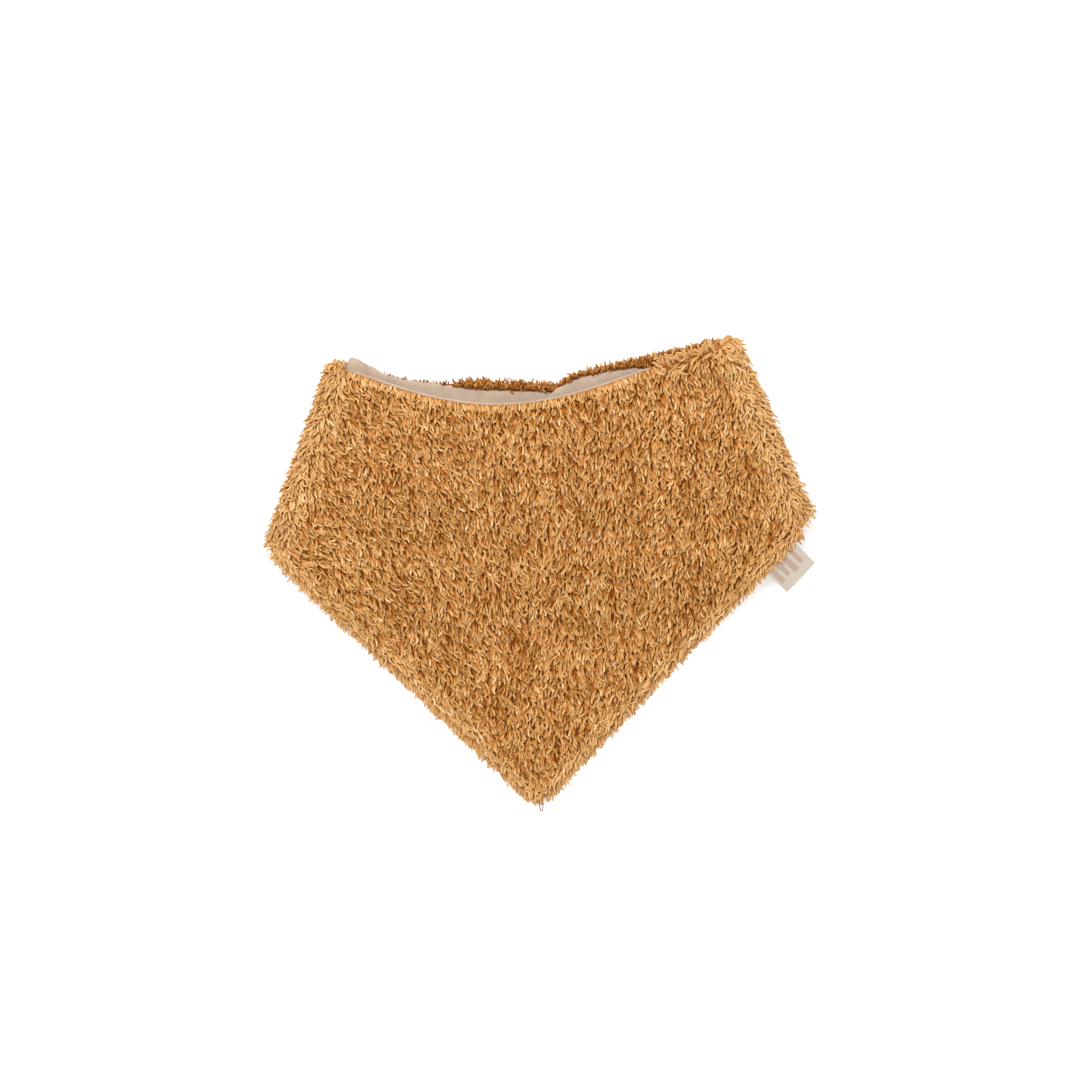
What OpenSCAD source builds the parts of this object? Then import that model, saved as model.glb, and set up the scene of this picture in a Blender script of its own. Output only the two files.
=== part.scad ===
// Baby's bandana bib of long-pile terry with a smooth lining, closed into a neck loop by a
// press stud and laid face up. Millimetres, +Z up, +Y from the tip towards the neck.

/* [Cloth] */
// Thickness of the terry, ground cloth and pile together
terry_t = 4.4; // [4:0.1:5]
// Thickness of the lining
lining_t = 0.8; // [0.6:0.1:1]
// Thickness of the terry's ground cloth where a press stud crushes the pile
ground_t = 1.2; // [1:0.1:1.4]
// Width of the turned edge that stands out past terry and lining
seam_w = 1; // [0.6:0.1:1.6]

/* [Outline] */
// Length of the hem from the tip to the left fold
left_hem = 142.2; // [120:0.2:150]
// Length of the hem from the tip to the right fold
right_hem = 151; // [130:1:160]
// Angle of each hem from the middle line
hem_angle = 45.75; // [42:0.25:48]
// How much steeper the left hem climbs than that
left_turn = 1.1; // [0:0.1:2]
// Radius of the rounded tip
tip_r = 6; // [3:0.5:10]
// Length of the left side fold
left_fold = 79; // [74:1:86]
// Length of the right side fold
right_fold = 79; // [74:1:84]
// Lean of both side folds towards the middle line
fold_lean = 21.2; // [18:0.2:24]
// Depth of the neckline below a straight line between the folds
neck_dip = 18.2; // [12:0.2:22]

/* [Loop] */
// Inner radius of the side folds
fold_r = 2.6; // [2.4:0.1:3]
// Free height of the neck opening over the upper press stud
neck_gap = 5; // [4.6:0.1:6]
// Clear gap between the two straps where they overlap
strap_gap = 0.3; // [0.2:0.1:0.4]
// Width of the outer strap near its end
outer_strap_w = 36; // [32:1:38]
// Width of the inner strap near its end
inner_strap_w = 38; // [34:1:40]

/* [Press studs] */
// Distance between the two studs that set the neck size
stud_pitch = 22; // [20:1:24]
// Diameter of each cap
cap_d = 12; // [11:0.5:12.5]
// Diameter of the socket
socket_d = 11.6; // [11:0.2:12]
// Diameter of the stud's flange
stud_d = 10.6; // [10:0.2:11]

/* [Label] */
// Width of the side label along the hem
label_w = 16; // [12:1:20]
// Length of the side label from the hem
label_l = 12; // [10:1:15]
// Thickness of the folded label tape
label_t = 0.7; // [0.5:0.1:0.9]

/* [Hidden] */

// Where the drawing's tip lies in the part's own frame, so that the laid bib is centred
tip_at = [-4.1, -92.09];

// Clear gap between a fold line and the strap that swings about it
joint_gap = 0.3;

// Number of steps in the meshes of the cloth
arc_rows = 3;
hem_rows = 9;
fold_rows = 8;
columns = 18;
bend_steps = 8;
strap_rows = 12;
end_rows = 5;

sheet_t = terry_t + lining_t;
neutral_r = fold_r + lining_t;
axis_z = sheet_t + fold_r;
strap_step = sheet_t + strap_gap;
cap_h = 1.2;
side_rise = axis_z + neutral_r - lining_t;
centre_rise = strap_step + sheet_t + cap_h + neck_gap - side_rise;
drape_from = 60;
drape_to = 98;
swell_rows = 30;
swell_edge = 0.3;
neck_skew = 0.85;
neck_bell = 1.3;
neck_rise = 1.5;
low_shift = 4.5;
top_shift = 2;
lift_from_x = 76;
lift_to_x = 50;
tip_arc_from = 8;

snap_at = [15, 146.2];
outer_heading = -4.8;
inner_heading = 191.7;
outer_root_headings = [2.5, -24];
inner_root_headings = [177.5, 192.5];
root_pull = 24;
end_pull = 30;
outer_round = 19;
inner_round = 22;
snap_to_outer_round = 8;
snap_to_inner_round = 13.3;
inner_snap_offset = 2;
last_round_row = 0.96;

post_r = 1.6;
post_gap = 0.05;
rivet_r = 2.1;
rivet_h = 0.4;
cap_round = 1.2;
flange_h = 1.2;
flange_round = 0.6;
socket_h = 2;
socket_floor = 0.5;
socket_r = 3.2;
socket_lip = 0.3;
socket_round = 0.8;
boss_r = 2.7;
boss_bore_r = 2.3;
boss_h = 1.4;
boss_round = 0.3;
recess_r = 7.2;
patch_r = 7.8;
patch_t = 0.4;
patch_gap = 0.1;

label_gap = 0.5;
label_from_tip = 138.6;

// How far the turned edge reaches above and below the joint of the two cloths, and how much
// of its width is left where it runs out at a fold
seam_half = 0.6;
seam_end_share = 0.3;

// Height of a cutter that passes right through a strap
cut_h = 12;

terry_colour = [0.78, 0.53, 0.27];
lining_colour = [0.82, 0.71, 0.62];
seam_colour = [0.86, 0.76, 0.67];
snap_colour = [0.88, 0.80, 0.70];
label_colour = [0.87, 0.82, 0.76];
patch_colour = [0.95, 0.94, 0.92];

function smooth(t) = let (c = min(1, max(0, t))) c * c * (3 - 2 * c);
function heading(a) = [cos(a), sin(a)];
function lerp(a, b, t) = a + (b - a) * t;
function unit(v) = v / norm(v);
function bezier(p, t) = pow(1 - t, 3) * p[0] + 3 * pow(1 - t, 2) * t * p[1]
                      + 3 * (1 - t) * t * t * p[2] + pow(t, 3) * p[3];

// The two sides: -1 is left, 1 is right
function hem_dir(side) = heading(90 - side * hem_angle - (side < 0 ? left_turn : 0));
function up_dir(side) = heading(90 + side * fold_lean);
function out_dir(side) = side * heading(side * fold_lean);
function corner(side) = hem_dir(side) * (side < 0 ? left_hem : right_hem);
function fold_len(side) = side < 0 ? left_fold : right_fold;

// Height of the joint between terry and lining at height y on the front, where u goes from 0
// at the left edge to 1 at the right one. The front lies on the table near the tip, climbs to
// the folds and swells between them over the overlapped straps.
function swell(u) = smooth(u / swell_edge) * smooth((1 - u) / swell_edge);
function front_z(y, u) = lining_t
    + (side_rise + centre_rise * swell(u) * smooth((y - drape_to) / swell_rows))
    * smooth((y - drape_from) / (drape_to - drape_from));

// Rows of the front, from the tip up both hems and then up both folds
tip_centre_y = tip_r / sin(hem_angle);
tip_start = tip_r / tan(hem_angle);
rows = arc_rows + hem_rows + fold_rows;
function arc_at(i) = lerp(tip_arc_from, 90 - hem_angle, i / arc_rows);
function edge_point(side, i) =
    i < arc_rows
    ? [side * tip_r * sin(arc_at(i)), tip_centre_y - tip_r * cos(arc_at(i))]
    : i <= arc_rows + hem_rows
    ? hem_dir(side) * lerp(tip_start, norm(corner(side)), (i - arc_rows) / hem_rows)
    : corner(side) + up_dir(side) * fold_len(side) * (i - arc_rows - hem_rows) / fold_rows;
function neck_share(i) = pow(max(0, i - arc_rows - hem_rows) / fold_rows, neck_rise);
function neck_curve(u) = pow(max(0, sin(180 * pow(u, neck_skew))), neck_bell);
function front_point(i, j) = let (u = j / columns)
    lerp(edge_point(-1, i), edge_point(1, i), u)
    - [0, neck_dip * neck_share(i) * neck_curve(u)];
front_grid = [for (i = [0:rows]) [for (j = [0:columns])
    let (p = front_point(i, j)) [p[0], p[1], front_z(p[1], j / columns)]]];

// The half-round fold on one side, at a given radius about its own centre line
function bend_grid(side, r) = [for (k = [0:bend_steps]) [for (i = [0:fold_rows])
    let (a = 180 * k / bend_steps,
         s = lerp(low_shift * k / bend_steps,
                  fold_len(side) + top_shift * k / bend_steps, i / fold_rows),
         p = corner(side) + up_dir(side) * s + out_dir(side) * r * sin(a))
    [p[0], p[1], axis_z + r * cos(a)]]];

// A strap is a sheet between a lower and an upper edge, with a rounded end
function across(side, course) = heading(course - side * 90);
function strap_edge(side, upper, w, course, round_at, t) =
    let (s = upper ? fold_len(side) + top_shift : low_shift,
         root = corner(side) + up_dir(side) * s - out_dir(side) * joint_gap,
         start = heading((side < 0 ? outer_root_headings : inner_root_headings)[upper ? 1 : 0]),
         last = round_at + across(side, course) * w / 2 * (upper ? 1 : -1))
    bezier([root, root + start * root_pull, last - heading(course) * end_pull, last], t);
function strap_grid(side, w, course, round_at, round_l) = concat(
    [for (k = [0:strap_rows]) let (t = k / strap_rows) [for (i = [0:fold_rows])
        lerp(strap_edge(side, false, w, course, round_at, t),
             strap_edge(side, true, w, course, round_at, t), i / fold_rows)]],
    [for (k = [1:end_rows]) let (a = 90 * last_round_row * k / end_rows)
        [for (i = [0:fold_rows]) round_at + heading(course) * round_l * sin(a)
            + across(side, course) * w * cos(a) * (i / fold_rows - 0.5)]]);
function raised(grid, side) = [for (row = grid) [for (p = row)
    [p[0], p[1], terry_t + (side < 0 ? 0
        : strap_step * smooth((lift_from_x - p[0]) / (lift_from_x - lift_to_x)))]]];

outer_round_at = snap_at - heading(outer_heading) * snap_to_outer_round;
inner_round_at = snap_at + [0, inner_snap_offset] - heading(inner_heading) * snap_to_inner_round;
outer_grid = raised(strap_grid(-1, outer_strap_w, outer_heading, outer_round_at, outer_round), -1);
inner_grid = raised(strap_grid(1, inner_strap_w, inner_heading, inner_round_at, inner_round), 1);
spare_at = snap_at - heading(inner_heading) * stud_pitch;

function shifted(grid, dz) = [for (row = grid) [for (p = row) p + [0, 0, dz]]];

// A closed sheet between two grids of the same size, with its outside on the side of the upper one
module between(lower, upper, flip = false) {
    n = len(lower);
    m = len(lower[0]);
    function low(i, j) = i * m + j;
    function up(i, j) = n * m + i * m + j;
    function quad(a, b, c, d) = [[a, b, c], [a, c, d]];
    faces = [
        for (i = [0:n - 2]) for (j = [0:m - 2]) each
            quad(up(i, j), up(i + 1, j), up(i + 1, j + 1), up(i, j + 1)),
        for (i = [0:n - 2]) for (j = [0:m - 2]) each
            quad(low(i, j), low(i, j + 1), low(i + 1, j + 1), low(i + 1, j)),
        for (i = [0:n - 2]) each quad(low(i, 0), low(i + 1, 0), up(i + 1, 0), up(i, 0)),
        for (i = [0:n - 2]) each
            quad(low(i, m - 1), up(i, m - 1), up(i + 1, m - 1), low(i + 1, m - 1)),
        for (j = [0:m - 2]) each quad(low(0, j), up(0, j), up(0, j + 1), low(0, j + 1)),
        for (j = [0:m - 2]) each
            quad(low(n - 1, j), low(n - 1, j + 1), up(n - 1, j + 1), up(n - 1, j))];
    points = concat([for (row = lower) each row], [for (row = upper) each row]);
    polyhedron(points, flip ? [for (f = faces) [f[2], f[1], f[0]]] : faces);
}

// A turned edge: a narrow strip outside a line of edge points, over both cloths
function outward(line, i, turn) =
    let (last = len(line) - 1,
         a = line[max(0, i - 1)],
         b = line[min(last, i + 1)],
         d = unit([b[0] - a[0], b[1] - a[1]]),
         w = i == 0 || i == last ? seam_w * seam_end_share : seam_w)
    turn * [d[1], -d[0], 0] * w;
module turned_edge(line, turn, flip) {
    half = [0, 0, seam_half];
    out = [for (i = [0:len(line) - 1]) line[i] + outward(line, i, turn)];
    between([for (i = [0:len(line) - 1]) [line[i] - half, out[i] - half]],
            [for (i = [0:len(line) - 1]) [line[i] + half, out[i] + half]], flip);
}

module in_frame() { translate([tip_at[0], tip_at[1], 0]) children(); }

module front_terry() {
    color(terry_colour) in_frame() between(front_grid, shifted(front_grid, terry_t), true);
}
module front_lining() {
    color(lining_colour) in_frame() between(shifted(front_grid, -lining_t), front_grid, true);
}
module front_hem_seam() {
    last = arc_rows + hem_rows;
    line = concat([for (i = [last:-1:0]) front_grid[i][0]],
                  [for (j = [1:columns - 1]) front_grid[0][j]],
                  [for (i = [0:last]) front_grid[i][columns]]);
    color(seam_colour) in_frame() turned_edge(line, 1, false);
}
module front_neck_seam() {
    color(seam_colour) in_frame() turned_edge(front_grid[rows], -1, true);
}

module fold_terry(side) {
    color(terry_colour) in_frame()
        between(bend_grid(side, neutral_r), bend_grid(side, neutral_r + terry_t), side < 0);
}
module fold_lining(side) {
    color(lining_colour) in_frame()
        between(bend_grid(side, fold_r), bend_grid(side, neutral_r), side < 0);
}
module left_fold_terry() { fold_terry(-1); }
module left_fold_lining() { fold_lining(-1); }
module right_fold_terry() { fold_terry(1); }
module right_fold_lining() { fold_lining(1); }

// A strap's terry hangs below its lining. Each press stud sits in a crushed round in the pile,
// on a patch of interfacing, with its post through all the layers.
module strap_terry(grid, side, studs) {
    color(terry_colour) in_frame() difference() {
        between(shifted(grid, -terry_t), grid, side > 0);
        for (at = studs) translate([at[0], at[1], grid[len(grid) - 1][0][2]]) {
            translate([0, 0, -ground_t - cut_h]) cylinder(r = recess_r, h = cut_h, $fn = 64);
            translate([0, 0, -patch_t]) cylinder(r = patch_r + patch_gap, h = cut_h, $fn = 64);
            translate([0, 0, -cut_h / 2]) cylinder(r = post_r + post_gap, h = cut_h, $fn = 48);
        }
    }
}
module strap_lining(grid, side, studs) {
    color(lining_colour) in_frame() difference() {
        between(grid, shifted(grid, lining_t), side > 0);
        for (at = studs) translate([at[0], at[1], 0])
            cylinder(r = post_r + post_gap, h = strap_step + cut_h, $fn = 48);
    }
}
module strap_seam(grid, side) {
    n = len(grid) - 1;
    line = concat([for (k = [0:n]) grid[k][0]], [for (i = [1:fold_rows - 1]) grid[n][i]],
                  [for (k = [n:-1:0]) grid[k][fold_rows]]);
    color(seam_colour) in_frame() turned_edge(line, side < 0 ? 1 : -1, side > 0);
}
module interfacing(z, studs) {
    color(patch_colour) in_frame() difference() {
        for (at = studs) translate([at[0], at[1], z - patch_t])
            cylinder(r = patch_r, h = patch_t, $fn = 64);
        for (at = studs) translate([at[0], at[1], z - terry_t])
            cylinder(r = post_r + post_gap, h = sheet_t, $fn = 48);
    }
}
module outer_strap_terry() { strap_terry(outer_grid, -1, [snap_at]); }
module outer_strap_lining() { strap_lining(outer_grid, -1, [snap_at]); }
module outer_strap_seam() { strap_seam(outer_grid, -1); }
module inner_strap_terry() { strap_terry(inner_grid, 1, [snap_at, spare_at]); }
module inner_strap_lining() { strap_lining(inner_grid, 1, [snap_at, spare_at]); }
module inner_strap_seam() { strap_seam(inner_grid, 1); }
module outer_strap_interfacing() { interfacing(terry_t, [snap_at]); }
module inner_strap_interfacing() { interfacing(terry_t + strap_step, [snap_at, spare_at]); }

// Cap with its post, drawn with the cap's seat at z = 0 and the post going up through the cloth
// and the fastener's floor to a riveted head
module cap(cloth, floor_h) {
    color(snap_colour) rotate_extrude($fn = 64) polygon([
        [0, -cap_h], [cap_d / 2 - cap_round, -cap_h], [cap_d / 2 - cap_round / 4, -cap_h / 2],
        [cap_d / 2, -cap_h / 4], [cap_d / 2, 0], [post_r, 0], [post_r, cloth + floor_h],
        [rivet_r, cloth + floor_h], [rivet_r, cloth + floor_h + rivet_h / 2],
        [post_r, cloth + floor_h + rivet_h], [0, cloth + floor_h + rivet_h]]);
}
// Socket, seat at z = 0 and mouth upwards
module socket_body() {
    color(snap_colour) rotate_extrude($fn = 64) polygon([
        [post_r + post_gap, 0], [socket_d / 2, 0], [socket_d / 2, socket_h / 2],
        [socket_d / 2 - socket_round, socket_h], [socket_r + socket_lip, socket_h],
        [socket_r, socket_h - socket_lip],
        [socket_r, socket_floor], [post_r + post_gap, socket_floor]]);
}
// Stud, seat at z = 0 and its hollow boss upwards
module stud_body() {
    color(snap_colour) rotate_extrude($fn = 64) polygon([
        [post_r + post_gap, 0], [stud_d / 2, 0], [stud_d / 2, flange_h / 2],
        [stud_d / 2 - flange_round, flange_h], [boss_r, flange_h],
        [boss_r, flange_h + boss_h - boss_round],
        [boss_r - boss_round, flange_h + boss_h], [boss_bore_r, flange_h + boss_h],
        [boss_bore_r, flange_h], [post_r + post_gap, flange_h]]);
}
module at_snap(at, z, down = false) {
    in_frame() translate([at[0], at[1], z]) rotate([down ? 180 : 0, 0, 0]) children();
}
crushed_t = ground_t + lining_t;
module socket_cap() { at_snap(snap_at, terry_t - ground_t) cap(crushed_t, socket_floor); }
module socket() { at_snap(snap_at, sheet_t) socket_body(); }
module stud_cap(at) { at_snap(at, strap_step + sheet_t, true) cap(crushed_t, flange_h); }
module stud(at) { at_snap(at, strap_step + terry_t - ground_t, true) stud_body(); }
module closing_stud_cap() { stud_cap(snap_at); }
module closing_stud() { stud(snap_at); }
module spare_stud_cap() { stud_cap(spare_at); }
module spare_stud() { stud(spare_at); }

module side_label() {
    at = hem_dir(1) * label_from_tip;
    color(label_colour) in_frame()
        translate([at[0], at[1], front_z(at[1], 1)]) rotate([0, 0, 90 - hem_angle])
            translate([-label_w / 2, -seam_w - label_gap - label_l, -label_t / 2])
                cube([label_w, label_l, label_t]);
}

front_terry();
front_lining();
front_hem_seam();
front_neck_seam();
left_fold_terry();
left_fold_lining();
right_fold_terry();
right_fold_lining();
outer_strap_terry();
outer_strap_lining();
outer_strap_seam();
inner_strap_terry();
inner_strap_lining();
inner_strap_seam();
outer_strap_interfacing();
inner_strap_interfacing();
socket_cap();
socket();
closing_stud_cap();
closing_stud();
spare_stud_cap();
spare_stud();
side_label();
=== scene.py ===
"""Looks for a bandana bib of long-pile terry with a smooth lining, face up and closed behind."""

import math

import bmesh
import bpy
import numpy as np
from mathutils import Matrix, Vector
from mathutils.bvhtree import BVHTree
from mathutils.kdtree import KDTree


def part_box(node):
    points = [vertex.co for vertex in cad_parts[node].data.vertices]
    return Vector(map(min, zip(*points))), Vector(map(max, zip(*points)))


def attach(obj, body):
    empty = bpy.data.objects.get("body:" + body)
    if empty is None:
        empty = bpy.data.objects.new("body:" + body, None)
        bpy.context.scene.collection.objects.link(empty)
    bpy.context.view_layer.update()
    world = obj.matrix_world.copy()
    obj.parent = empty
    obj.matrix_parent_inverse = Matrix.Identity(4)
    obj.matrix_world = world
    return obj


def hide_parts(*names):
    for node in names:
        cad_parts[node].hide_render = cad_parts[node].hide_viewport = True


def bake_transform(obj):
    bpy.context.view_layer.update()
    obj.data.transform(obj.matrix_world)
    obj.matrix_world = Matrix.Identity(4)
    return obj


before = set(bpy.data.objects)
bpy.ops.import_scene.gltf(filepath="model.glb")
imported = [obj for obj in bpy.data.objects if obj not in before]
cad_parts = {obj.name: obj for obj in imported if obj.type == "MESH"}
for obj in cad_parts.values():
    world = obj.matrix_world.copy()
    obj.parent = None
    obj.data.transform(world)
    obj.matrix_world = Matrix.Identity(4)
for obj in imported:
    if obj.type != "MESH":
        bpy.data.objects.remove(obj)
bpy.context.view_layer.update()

MM = 0.001
UP = np.array([0.0, 0.0, 1.0])

# ---------------- sizes, in millimetres and degrees

# Thickness of the layers: terry with its pile, lining, and the terry's ground cloth alone
TERRY = 4.4
LINING = 0.8
GROUND = 1.2
# The cloth of the terry starts this far from the joint with the lining
CLOTH_GAP = 0.05

# The outline of the front, from its tip. Tables by side have -1 for the left and 1 for the right.
HEM_ANGLE = 45.75
LEFT_TURN = 1.1
HEM = {-1: 142.2, 1: 151.0}
FOLD_LEAN = 21.2
FOLD = {-1: 79.0, 1: 79.0}
TIP_R = 6.0
TIP_AT = np.array([-4.10, -92.09])
NECK_DIP = 18.2
NECK_SKEW = 0.85
NECK_BELL = 1.3
NECK_RISE = 1.5
# Stretches along X in which the neckline closes upon the inner strap: of its cloth and of its pile.
# Where it is open, the ground cloth draws back from it by this share of a row.
CLOTH_CLOSES = (44.0, 49.0)
PILE_CLOSES = (46.0, 53.0)
NECK_DRAWN = 0.62

# The side folds, and how the straps lie upon each other
FOLD_R = 2.6
STRAP_GAP = 0.3
LOW_SHIFT = 4.5
TOP_SHIFT = 2.0
JOINT_GAP = 0.3
LIFT = (76.0, 50.0)

# How the front rises over the straps, measured from the tip
DRAPE = (60.0, 98.0)
SWELL_ROWS = 30.0
SWELL_EDGE = 0.3
NECK_GAP = 5.0

# Press studs
CAP_H = 1.2
SNAP_AT = np.array([15.0, 146.2])
STUD_PITCH = 22.0
RECESS_R = 7.2

# The straps
STRAP = {
    -1: dict(width=36.0, course=-4.8, back=8.0, offset=0.0, round=19.0, starts=(2.5, -24.0)),
    1: dict(width=38.0, course=191.7, back=13.3, offset=2.0, round=22.0, starts=(177.5, 192.5)),
}
ROOT_PULL = 24.0
END_PULL = 30.0

SHEET_T = TERRY + LINING
NEUTRAL_R = FOLD_R + LINING
AXIS_Z = SHEET_T + FOLD_R
STRAP_STEP = SHEET_T + STRAP_GAP
SIDE_RISE = AXIS_Z + NEUTRAL_R - LINING
CENTRE_RISE = STRAP_STEP + SHEET_T + CAP_H + NECK_GAP - SIDE_RISE

# The pile: distance between tufts, their length and half width, and the make of their meshes
PITCH = 1.2
TUFT_L = 5.2
TUFT_R = 0.46
TUFT_RINGS = 8
TUFT_SIDES = 5
FLATNESS = 0.85
MOST_TUFTS = 2400

# Jitter of the tufts, the share of loose hairs, and the least height above the floor
JITTER = 0.34
HAIRS = 0.12
FLOOR_GAP = 0.15
# Clumps: their distance, the swirl and the scatter of the pile's lie in degrees, and the pull
CLUMP_PITCH, SWIRL, SPREAD, GATHER = 4.2, 24.0, 20.0, 0.75

# Kinds of pile apart from the usual one: its mean tone and how much of the painted shade at its
# roots is taken out (pale), length and half width of the tufts, the angles at which they leave the
# cloth and end, and their curl. Low middles are painted shade, high middles with pale roots painted
# light.
STYLE = {
    # Painted light: the neck, hem and fold end pile is lighter, with paler roots
    "neck": dict(middle=0.62, pale=0.3, length=4.4, rise=98, droop=-12, curl=0.25),
    "hem": dict(middle=0.62, pale=0.5, length=4.8, radius=0.38, rise=38, curl=0.5),
    "hem hairs": dict(length=4.2, radius=0.13, rise=30, curl=1.0),
    "fold end": dict(middle=0.6, pale=0.5, length=2.0, radius=0.38, rise=60, droop=10, curl=0.5),
    "fold hairs": dict(length=4.2, radius=0.13, rise=60, droop=25, curl=1.0),
    "strap": dict(length=3.9, rise=48, droop=4),
    "border": dict(length=3.2, radius=0.38, rise=50, droop=2),
    "low edge": dict(length=3.6, radius=0.38, rise=35, droop=5),
    # Painted shade: the strap's end, its upper edge and the stubs there are darkened
    "strap end": dict(middle=0.2, length=1.8, radius=0.34, rise=30, droop=0),
    "upper edge": dict(middle=0.08, radius=0.30, rise=35, droop=5, curl=0.7),
    "stubs": dict(middle=0.0, length=2.0, radius=0.26, rise=35, droop=5, curl=0.6),
    "rolled": dict(length=3.4, radius=0.36, rise=78, droop=10),
    # Painted light: the pile at the strap's root is lighter, with paler roots
    "strap root": dict(middle=0.64, pale=0.6, length=6.0, radius=0.42, rise=84, droop=30),
}
UPPER_EDGE_L = {-1: 4.0, 1: 2.5}

# The pile round a fold: its start along it, its bow there, its length and the way it leans to the
# front by side, and its angles in the strips from the front on
FOLD_STRIPS = 6
FOLD_PILE_R = NEUTRAL_R + GROUND
FOLD_START = {-1: 0.3, 1: 1.1}
FOLD_BOW = 3.6
FOLD_PILE_L = {-1: 5.0, 1: 5.6}
FOLD_SPLAY = {-1: -0.35, 1: 0.0}
FOLD_RISE = (54, 64, 74)
FOLD_DROOP = (4, 8, 14)

# Double points nearer than this, in metres, are one
MERGE = 1e-6


# ---------------- the shape of the cloth

def heading(degrees):
    a = np.radians(degrees)
    return np.array([np.cos(a), np.sin(a)])


def lerp(a, b, t):
    return a + (b - a) * t


def smooth(t):
    c = np.clip(t, 0.0, 1.0)
    return c * c * (3 - 2 * c)


def between(x, start, stop):
    """Rises smoothly from 0 at the start to 1 at the stop."""
    return smooth((x - start) / (stop - start))


def unit(v):
    return v / np.maximum(np.linalg.norm(v, axis=-1, keepdims=True), 1e-9)


def level(v):
    """Vectors in plan as vectors in space."""
    return np.concatenate([v, np.zeros((len(v), 1))], 1)


def hem_dir(side):
    return heading(90 - side * HEM_ANGLE - (LEFT_TURN if side < 0 else 0))


def up_dir(side):
    return heading(90 + side * FOLD_LEAN)


def out_dir(side):
    return side * heading(side * FOLD_LEAN)


def corner(side):
    return hem_dir(side) * HEM[side]


TIP_START = TIP_R / math.tan(math.radians(HEM_ANGLE))
TIP_CENTRE = np.array([0.0, TIP_R / math.sin(math.radians(HEM_ANGLE))])
ARC_SHARE = 0.06


def edge(side, v):
    """The outline on one side: v runs from 0 at the tip to 1 at the corner and 2 at the neck."""
    v = np.asarray(v)[..., None]
    turn = np.radians(lerp(0.5, 90 - HEM_ANGLE, v / ARC_SHARE))
    arc = TIP_CENTRE + TIP_R * np.concatenate([side * np.sin(turn), -np.cos(turn)], -1)
    run = lerp(TIP_START, HEM[side], (v - ARC_SHARE) / (1 - ARC_SHARE))
    hem = hem_dir(side) * run
    fold = corner(side) + up_dir(side) * FOLD[side] * (v - 1)
    return np.where(v < ARC_SHARE, arc, np.where(v <= 1, hem, fold))


def front_xy(u, v):
    u = np.asarray(u, float)
    dip = NECK_DIP * np.maximum(0, v - 1) ** NECK_RISE
    curve = np.maximum(0, np.sin(np.pi * u ** NECK_SKEW)) ** NECK_BELL
    xy = lerp(edge(-1, v), edge(1, v), u[..., None])
    xy[..., 1] -= dip * curve
    return xy


def front_z(y, u):
    """Height of the joint between terry and lining. The same rule as the solid part."""
    swell = smooth(u / SWELL_EDGE) * smooth((1 - u) / SWELL_EDGE)
    rise = SIDE_RISE + CENTRE_RISE * swell * smooth((y - DRAPE[1]) / SWELL_ROWS)
    return LINING + rise * between(y, *DRAPE)


def waves(x, y, scale, seed):
    """Smooth, seeded waviness between about -1 and 1."""
    spin = np.random.default_rng(seed)
    total = 0
    for _ in range(5):
        a, phase = spin.uniform(0, 2 * np.pi, 2)
        k = 2 * np.pi / (scale * spin.uniform(0.7, 1.6))
        total = total + np.sin(k * (x * np.cos(a) + y * np.sin(a)) + phase)
    return total / 3


def front_grid(rows, columns):
    """The joint between terry and lining, with the place of each row on the outline."""
    v, u = np.meshgrid(np.linspace(0, 2, rows), np.linspace(0, 1, columns), indexing="ij")
    xy = front_xy(u, v)
    z = front_z(xy[..., 1], u)
    inside = np.clip(np.minimum(u, 1 - u) * 12, 0, 1)
    z = z + 0.35 * waves(xy[..., 0], xy[..., 1], 38, 3) * inside * smooth((xy[..., 1] - 70) / 30)
    return np.concatenate([xy + TIP_AT, z[..., None]], -1), v[:, 0]


def fold_grid(side, r, rows, columns):
    """The half tube at one side fold. Rows run from the front over to the strap."""
    k, s = np.meshgrid(np.linspace(0, 1, rows), np.linspace(0, 1, columns), indexing="ij")
    along = lerp(LOW_SHIFT * k, FOLD[side] + TOP_SHIFT * k, s)
    a = np.pi * k
    out = (r * np.sin(a))[..., None] * out_dir(side)
    xy = corner(side) + up_dir(side) * along[..., None] + out + TIP_AT
    z = AXIS_Z + r * np.cos(a)
    return np.concatenate([xy, z[..., None]], -1)


def bezier(p, t):
    t = t[..., None]
    r = 1 - t
    return r ** 3 * p[0] + 3 * r ** 2 * t * p[1] + 3 * r * t * t * p[2] + t ** 3 * p[3]


def strap_grid(side, rows, end_rows, columns):
    """A strap, from its side fold to its round end. Columns run from the lower edge upwards."""
    s = STRAP[side]
    course = heading(s["course"])
    across = heading(s["course"] - side * 90)
    round_at = SNAP_AT + np.array([0, s["offset"]]) - course * s["back"]

    def border(upper, t):
        run = FOLD[side] + TOP_SHIFT if upper else LOW_SHIFT
        root = corner(side) + up_dir(side) * run - out_dir(side) * JOINT_GAP
        last = round_at + across * s["width"] / 2 * (1 if upper else -1)
        start = heading(s["starts"][1 if upper else 0])
        return bezier([root, root + start * ROOT_PULL, last - course * END_PULL, last], t)

    across_share = np.linspace(0, 1, columns)
    t, j = np.meshgrid(np.linspace(0, 1, rows), across_share, indexing="ij")
    body = lerp(border(False, t), border(True, t), j[..., None])
    a, j = np.meshgrid(np.linspace(0, 0.49 * np.pi, end_rows + 1)[1:], across_share, indexing="ij")
    cap = round_at + course * (s["round"] * np.sin(a))[..., None]
    cap = cap + across * (s["width"] * np.cos(a) * (j - 0.5))[..., None]
    xy = np.concatenate([body, cap])
    lift = STRAP_STEP * smooth((LIFT[0] - xy[..., 0]) / (LIFT[0] - LIFT[1])) if side > 0 else 0
    z = np.full(xy.shape[:2], TERRY) + lift
    return np.concatenate([xy + TIP_AT, z[..., None]], -1)


# ---------------- meshes

def add_object(name, data):
    added = bpy.data.objects.new(name, data)
    bpy.context.scene.collection.objects.link(added)
    return added


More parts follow.
